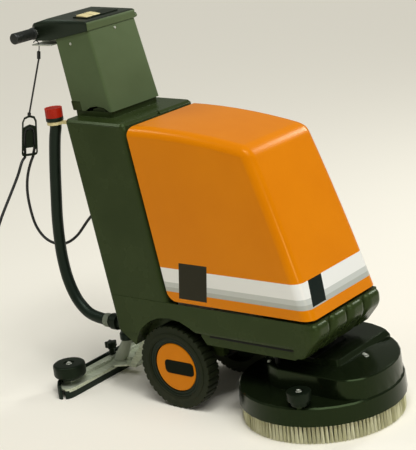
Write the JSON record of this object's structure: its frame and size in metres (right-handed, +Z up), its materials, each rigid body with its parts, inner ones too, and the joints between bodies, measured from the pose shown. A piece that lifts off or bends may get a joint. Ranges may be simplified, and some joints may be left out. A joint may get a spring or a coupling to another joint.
{
  "type": "walk-behind scrubber drier",
  "caption": "Upright mains-powered floor scrubber drier with orange hood, dark column tank, front disc brush deck, rear squeegee, handle bar and drain hose.",
  "frame": {"origin": "on the floor, midway along the machine's length and on its middle plane", "axes": "+X forward to the brush deck, +Y to the machine's left seen from the handle, +Z up"},
  "size_m": [1.2984, 0.7884, 1.0474],
  "materials": {
    "dark_plastic": "moulded, dark olive green",
    "black_plastic": "moulded, near black",
    "orange_plastic": "moulded, glossy amber orange",
    "grey_plastic": "moulded, mid grey",
    "cream_plastic": "moulded, cream",
    "red_plastic": "moulded, red",
    "clear_plastic": "milky, translucent on the real machine",
    "tyre_rubber": "ribbed solid rubber",
    "black_rubber": "smooth",
    "zinc": "zinc plated",
    "steel": "bare or plated steel",
    "nylon": "scrubbing bristle"
  },
  "bodies": {
    "machine": {"base_tank": "dark_plastic", "axle": "steel", "chassis_frame": "steel", "deck_cover": "dark_plastic", "brush_motor": "steel", "clean_water_tank": "clear_plastic", "suction_motor": "black_plastic", "rising_pipe": "black_plastic", "suction_port": "black_plastic", "hinge_bracket": "steel", "hinge_rod": "steel", "tank_lid": "dark_plastic", "console_shell": "dark_plastic", "console_foot": "black_plastic", "control_head": "dark_plastic", "switch_bezel": "black_plastic", "handle_tube": "steel", "grip_right": "black_rubber", "grip_left": "black_rubber", "drain_outlet": "black_plastic", "drain_hose": "black_rubber", "hose_clamp": "steel", "hose_hook": "cream_plastic", "cable_bracket": "steel", "cable_strap": "black_rubber", "cable_holder": "black_plastic", "cable_gland": "black_plastic", "mains_cable_loop": "black_rubber", "mains_cable_drop": "black_rubber", "cable_coil": "black_rubber", "mains_plug": "black_plastic", "solution_valve": "black_plastic", "solution_hose": "clear_plastic"},
    "wheel_right": {"tyre_right": "tyre_rubber", "rim_right": "black_plastic", "hub_cap_right": "orange_plastic"},
    "wheel_left": {"tyre_left": "tyre_rubber", "rim_left": "black_plastic", "hub_cap_left": "orange_plastic"},
    "brush": {"brush_bristles": "nylon", "brush_block": "black_plastic", "brush_hub": "steel"},
    "rotor": {"motor_rotor": "steel"},
    "roller_front": {"deck_roller": "black_plastic"},
    "filler": {"filler_cap": "black_plastic"},
    "impeller": {"suction_impeller": "black_plastic"},
    "float": {"float_ball": "cream_plastic"},
    "hood": {"hood": "orange_plastic"},
    "switch_brush": {"rocker_brush": "cream_plastic"},
    "switch_suction": {"rocker_suction": "cream_plastic"},
    "arm": {"squeegee_arm": "zinc", "suction_hose": "black_rubber"},
    "squeegee": {"squeegee_plate": "zinc", "front_lip": "black_rubber", "rear_lip": "black_rubber", "squeegee_nozzle": "grey_plastic"},
    "knob": {"star_knob": "black_plastic"},
    "roller_right": {"squeegee_roller_right": "black_plastic"},
    "roller_left": {"squeegee_roller_left": "black_plastic"},
    "drain": {"drain_cap": "red_plastic"}
  },
  "joints": [
    {"name": "wheel_right_roll", "type": "hinge", "parent": "machine", "child": "wheel_right", "pos_m": [-0.08585, -0.1315, 0.117], "axis": [0, 1, 0], "continuous": true},
    {"name": "wheel_left_roll", "type": "hinge", "parent": "machine", "child": "wheel_left", "pos_m": [-0.08585, 0.1315, 0.117], "axis": [0, 1, 0], "continuous": true},
    {"name": "brush_spin", "type": "hinge", "parent": "machine", "child": "brush", "pos_m": [0.28185, 0, 0.1], "axis": [0, 0, 1], "continuous": true},
    {"name": "rotor_spin", "type": "hinge", "parent": "machine", "child": "rotor", "pos_m": [0.28185, 0, 0.3], "axis": [0, 0, 1], "continuous": true},
    {"name": "roller_front_spin", "type": "hinge", "parent": "machine", "child": "roller_front", "pos_m": [0.34785, -0.191, 0.12], "axis": [0, 0, 1], "continuous": true},
    {"name": "filler_cap_turn", "type": "hinge", "parent": "machine", "child": "filler", "pos_m": [0.14915, 0, 0.55], "axis": [0, 0, 1], "continuous": true},
    {"name": "impeller_spin", "type": "hinge", "parent": "machine", "child": "impeller", "pos_m": [-0.00185, 0, 0.675], "axis": [0, 0, 1], "continuous": true},
    {"name": "float_rise", "type": "slide", "parent": "machine", "child": "float", "axis": [0, 0, 1], "range_m": [0, 0.03]},
    {"name": "hood_open", "type": "hinge", "parent": "machine", "child": "hood", "pos_m": [-0.13828, 0, 0.7575], "axis": [0, -1, 0], "range_deg": [0, 55]},
    {"name": "switch_brush_press", "type": "hinge", "parent": "machine", "child": "switch_brush", "pos_m": [-0.34196, -0.0425, 1.0399], "axis": [0, -1, 0], "range_deg": [0, 14]},
    {"name": "switch_suction_press", "type": "hinge", "parent": "machine", "child": "switch_suction", "pos_m": [-0.34196, -0.0125, 1.0399], "axis": [0, -1, 0], "range_deg": [0, 14]},
    {"name": "squeegee_lift", "type": "hinge", "parent": "machine", "child": "arm", "pos_m": [-0.25585, 0, 0.148], "axis": [0, 1, 0], "range_deg": [0, 9]},
    {"name": "squeegee_swing", "type": "hinge", "parent": "arm", "child": "squeegee", "pos_m": [-0.39485, 0, 0.032], "axis": [0, 0, 1], "range_deg": [-12, 12]},
    {"name": "knob_turn", "type": "hinge", "parent": "squeegee", "child": "knob", "pos_m": [-0.46435, 0, 0.06], "axis": [0, 0, 1], "continuous": true},
    {"name": "roller_right_spin", "type": "hinge", "parent": "squeegee", "child": "roller_right", "pos_m": [-0.45685, -0.185, 0.06], "axis": [0, 0, 1], "continuous": true},
    {"name": "roller_left_spin", "type": "hinge", "parent": "squeegee", "child": "roller_left", "pos_m": [-0.45685, 0.185, 0.06], "axis": [0, 0, 1], "continuous": true},
    {"name": "drain_cap_turn", "type": "hinge", "parent": "machine", "child": "drain", "pos_m": [-0.43185, -0.121, 0.795], "axis": [0, 0, 1], "continuous": true}
  ],
  "couplings": [
    {"joint": "rotor_spin", "follows": "brush_spin", "ratio": 8}
  ]
}
